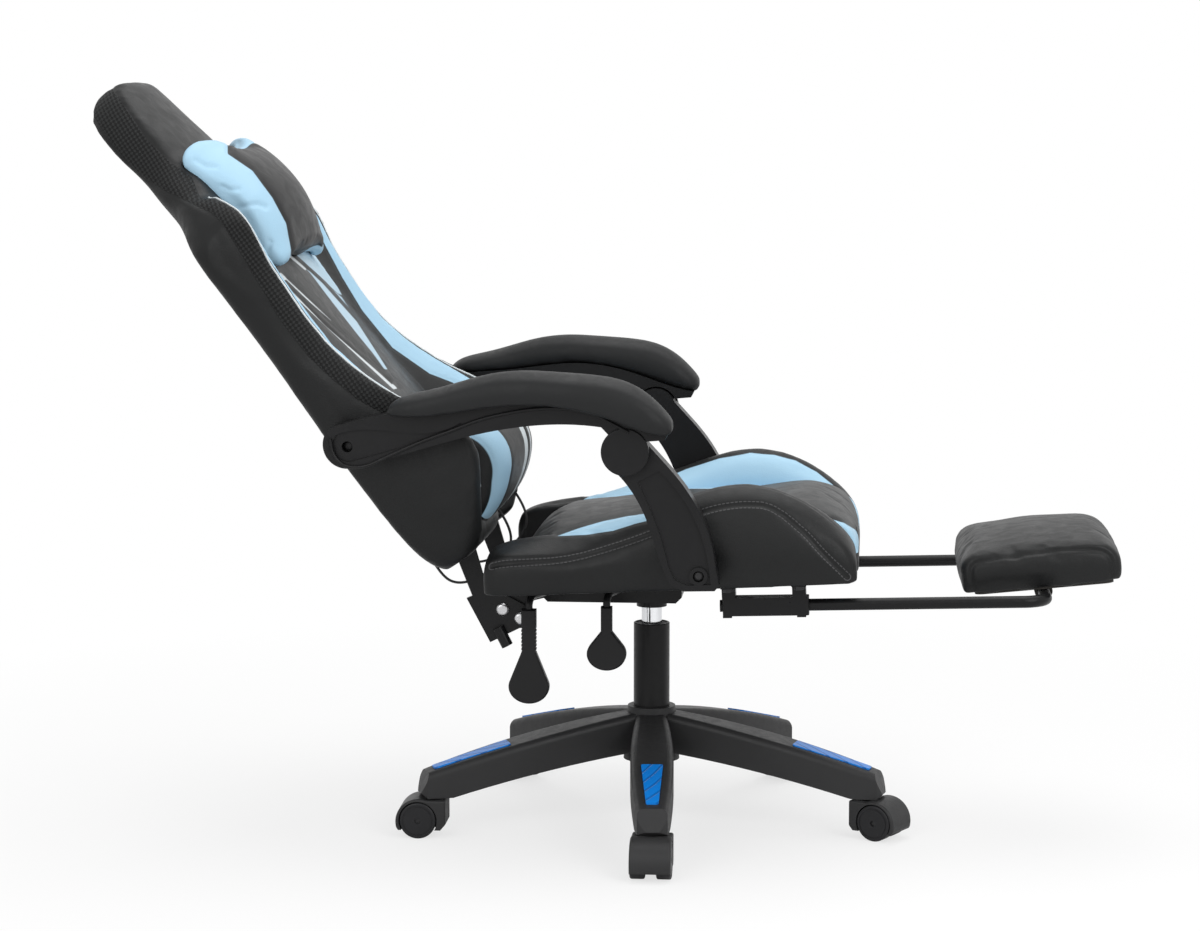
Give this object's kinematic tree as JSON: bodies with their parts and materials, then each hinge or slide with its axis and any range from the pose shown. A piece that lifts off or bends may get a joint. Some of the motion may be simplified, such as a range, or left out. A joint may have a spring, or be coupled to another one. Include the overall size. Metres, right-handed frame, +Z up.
{
  "type": "gaming chair",
  "caption": "Reclining gaming chair with bolstered seat and winged back, linked armrests, pull-out footrest, gas lift and a star-shaped caster base.",
  "frame": {"origin": "on the floor, under the gas lift's axis", "axes": "+X towards the chair's front, +Y to the sitter's left, +Z up"},
  "size_m": [1.3636, 0.7023, 1.0278],
  "materials": {
    "black_nylon": "moulded, fine grain",
    "blue_insert": "smooth with shallow diagonal lines",
    "black_steel": "black powder coat",
    "bright_steel": "plain turned steel",
    "chrome": "bright plated",
    "grey_bush": "plain moulded",
    "black_leather": "black synthetic leather, fine grain, with light blue and white panels",
    "blue_leather": "light blue synthetic leather with a black middle panel",
    "pad_skin": "soft moulded pad skin",
    "black_plastic": "moulded, satin",
    "cord": "braided elastic",
    "board": "plain ply, stained dark"
  },
  "bodies": {
    "base": {"star_base": "black_nylon", "leg_inserts": "blue_insert", "column_tube": "black_steel", "column_bush": "grey_bush", "thrust_bearing": "bright_steel"},
    "piston": {"piston_rod": "bright_steel"},
    "seat": {"gas_cylinder": "chrome", "mechanism": "black_steel", "seat_bolts": "bright_steel", "seat_frame": "black_steel", "seat_cushion": "black_leather", "seat_bolster_right": "black_leather", "seat_bolster_left": "black_leather", "recline_brackets": "black_steel", "recline_bolts": "chrome", "footrest_brackets": "black_steel", "arm_bolts_seat": "bright_steel"},
    "valve": {"gas_valve_button": "bright_steel"},
    "lift_lever": {"lift_lever": "black_steel", "lift_paddle": "black_plastic"},
    "lock_lever": {"lock_lever": "black_steel", "lock_paddle": "black_plastic"},
    "back": {"back_frame": "black_steel", "back_panel": "black_leather", "back_wing_right": "black_leather", "back_wing_left": "black_leather", "headrest_pillow": "blue_leather", "lumbar_pillow": "black_leather", "lumbar_cords": "cord", "arm_bolts_back": "bright_steel"},
    "lower_arm_right": {"lower_arm_right": "black_plastic"},
    "lower_arm_left": {"lower_arm_left": "black_plastic"},
    "upper_arm_right": {"upper_arm_right": "black_plastic", "arm_pad_right": "pad_skin"},
    "upper_arm_left": {"upper_arm_left": "black_plastic", "arm_pad_left": "pad_skin"},
    "footrest": {"footrest_rail": "black_steel"},
    "footrest_pad": {"footrest_board": "board", "footrest_pad": "black_leather"},
    "caster_1": {"caster_1_hood": "black_nylon", "caster_1_pins": "bright_steel"},
    "caster_1_right": {"caster_1_wheel_right": "black_nylon"},
    "caster_1_left": {"caster_1_wheel_left": "black_nylon"},
    "caster_2": {"caster_2_hood": "black_nylon", "caster_2_pins": "bright_steel"},
    "caster_2_right": {"caster_2_wheel_right": "black_nylon"},
    "caster_2_left": {"caster_2_wheel_left": "black_nylon"},
    "caster_3": {"caster_3_hood": "black_nylon", "caster_3_pins": "bright_steel"},
    "caster_3_right": {"caster_3_wheel_right": "black_nylon"},
    "caster_3_left": {"caster_3_wheel_left": "black_nylon"},
    "caster_4": {"caster_4_hood": "black_nylon", "caster_4_pins": "bright_steel"},
    "caster_4_right": {"caster_4_wheel_right": "black_nylon"},
    "caster_4_left": {"caster_4_wheel_left": "black_nylon"},
    "caster_5": {"caster_5_hood": "black_nylon", "caster_5_pins": "bright_steel"},
    "caster_5_right": {"caster_5_wheel_right": "black_nylon"},
    "caster_5_left": {"caster_5_wheel_left": "black_nylon"}
  },
  "joints": [
    {"name": "caster_1_swivel", "type": "hinge", "parent": "base", "child": "caster_1", "pos_m": [0.02339, -0.31112, 0.055], "axis": [0, 0, 1], "continuous": true},
    {"name": "caster_1_roll_right", "type": "hinge", "parent": "caster_1", "child": "caster_1_right", "pos_m": [0.02339, -0.33212, 0.025], "axis": [1, 0, 0], "continuous": true},
    {"name": "caster_1_roll_left", "type": "hinge", "parent": "caster_1", "child": "caster_1_left", "pos_m": [0.02339, -0.33212, 0.025], "axis": [1, 0, 0], "continuous": true},
    {"name": "caster_2_swivel", "type": "hinge", "parent": "base", "child": "caster_2", "pos_m": [0.30312, -0.07389, 0.055], "axis": [0, 0, 1], "continuous": true},
    {"name": "caster_2_roll_right", "type": "hinge", "parent": "caster_2", "child": "caster_2_right", "pos_m": [0.32166, -0.08375, 0.025], "axis": [0.4695, 0.8829, 0], "continuous": true},
    {"name": "caster_2_roll_left", "type": "hinge", "parent": "caster_2", "child": "caster_2_left", "pos_m": [0.32166, -0.08375, 0.025], "axis": [0.4695, 0.8829, 0], "continuous": true},
    {"name": "caster_3_swivel", "type": "hinge", "parent": "base", "child": "caster_3", "pos_m": [0.16395, 0.26545, 0.055], "axis": [0, 0, 1], "continuous": true},
    {"name": "caster_3_roll_right", "type": "hinge", "parent": "caster_3", "child": "caster_3_right", "pos_m": [0.17599, 0.28265, 0.025], "axis": [-0.8192, 0.5736, 0], "continuous": true},
    {"name": "caster_3_roll_left", "type": "hinge", "parent": "caster_3", "child": "caster_3_left", "pos_m": [0.17599, 0.28265, 0.025], "axis": [-0.8192, 0.5736, 0], "continuous": true},
    {"name": "caster_4_swivel", "type": "hinge", "parent": "base", "child": "caster_4", "pos_m": [-0.2018, 0.23795, 0.055], "axis": [0, 0, 1], "continuous": true},
    {"name": "caster_4_roll_right", "type": "hinge", "parent": "caster_4", "child": "caster_4_right", "pos_m": [-0.21473, 0.2545, 0.025], "axis": [-0.788, -0.6157, 0], "continuous": true},
    {"name": "caster_4_roll_left", "type": "hinge", "parent": "caster_4", "child": "caster_4_left", "pos_m": [-0.21473, 0.2545, 0.025], "axis": [-0.788, -0.6157, 0], "continuous": true},
    {"name": "caster_5_swivel", "type": "hinge", "parent": "base", "child": "caster_5", "pos_m": [-0.28867, -0.11839, 0.055], "axis": [0, 0, 1], "continuous": true},
    {"name": "caster_5_roll_right", "type": "hinge", "parent": "caster_5", "child": "caster_5_right", "pos_m": [-0.30966, -0.11876, 0.025], "axis": [0.0175, -0.9998, 0], "continuous": true},
    {"name": "caster_5_roll_left", "type": "hinge", "parent": "caster_5", "child": "caster_5_left", "pos_m": [-0.30966, -0.11876, 0.025], "axis": [0.0175, -0.9998, 0], "continuous": true},
    {"name": "seat_swivel", "type": "hinge", "parent": "base", "child": "piston", "pos_m": [0, 0, 0.1], "axis": [0, 0, 1], "continuous": true},
    {"name": "seat_lift", "type": "slide", "parent": "piston", "child": "seat", "axis": [0, 0, 1], "range_m": [0, 0.08]},
    {"name": "lift_pull", "type": "hinge", "parent": "seat", "child": "lift_lever", "pos_m": [-0.03, -0.084, 0.3418], "axis": [-1, 0, 0], "range_deg": [0, 4]},
    {"name": "gas_valve", "type": "slide", "parent": "seat", "child": "valve", "axis": [0, 0, -1], "range_m": [0, 0.006]},
    {"name": "lock_pull", "type": "hinge", "parent": "seat", "child": "lock_lever", "pos_m": [-0.13, -0.084, 0.3368], "axis": [-1, 0, 0], "range_deg": [0, 8]},
    {"name": "recline", "type": "hinge", "parent": "seat", "child": "back", "pos_m": [-0.25, 0, 0.415], "axis": [0, 1, 0], "range_deg": [0, 30]},
    {"name": "lower_arm_right_turn", "type": "hinge", "parent": "seat", "child": "lower_arm_right", "pos_m": [0.081, -0.28, 0.3896], "axis": [0, 1, 0], "range_deg": [0, 27.39]},
    {"name": "upper_arm_right_turn", "type": "hinge", "parent": "back", "child": "upper_arm_right", "pos_m": [-0.3746, -0.28, 0.555], "axis": [0, 1, 0], "range_deg": [-27.07, 0]},
    {"name": "lower_arm_left_turn", "type": "hinge", "parent": "seat", "child": "lower_arm_left", "pos_m": [0.081, 0.28, 0.3896], "axis": [0, 1, 0], "range_deg": [0, 27.39]},
    {"name": "upper_arm_left_turn", "type": "hinge", "parent": "back", "child": "upper_arm_left", "pos_m": [-0.3746, 0.28, 0.555], "axis": [0, 1, 0], "range_deg": [-27.07, 0]},
    {"name": "footrest_slide", "type": "slide", "parent": "seat", "child": "footrest", "axis": [0.9996, 0, 0.0279], "range_m": [-0.26, 0]},
    {"name": "footrest_flip", "type": "hinge", "parent": "footrest", "child": "footrest_pad", "pos_m": [0.534, 0, 0.347], "axis": [0, 1, 0], "range_deg": [0, 184.6]}
  ],
  "couplings": [
    {"joint": "gas_valve", "follows": "lift_pull", "m_per_rad": 0.084},
    {"joint": "lower_arm_right_turn", "follows": "recline", "ratio": 0.9114},
    {"joint": "upper_arm_right_turn", "follows": "recline", "ratio": -0.9005},
    {"joint": "lower_arm_left_turn", "follows": "recline", "ratio": 0.9114},
    {"joint": "upper_arm_left_turn", "follows": "recline", "ratio": -0.9005},
    {"joint": "footrest_flip", "follows": "footrest_slide", "rad_per_m": -12.378}
  ]
}
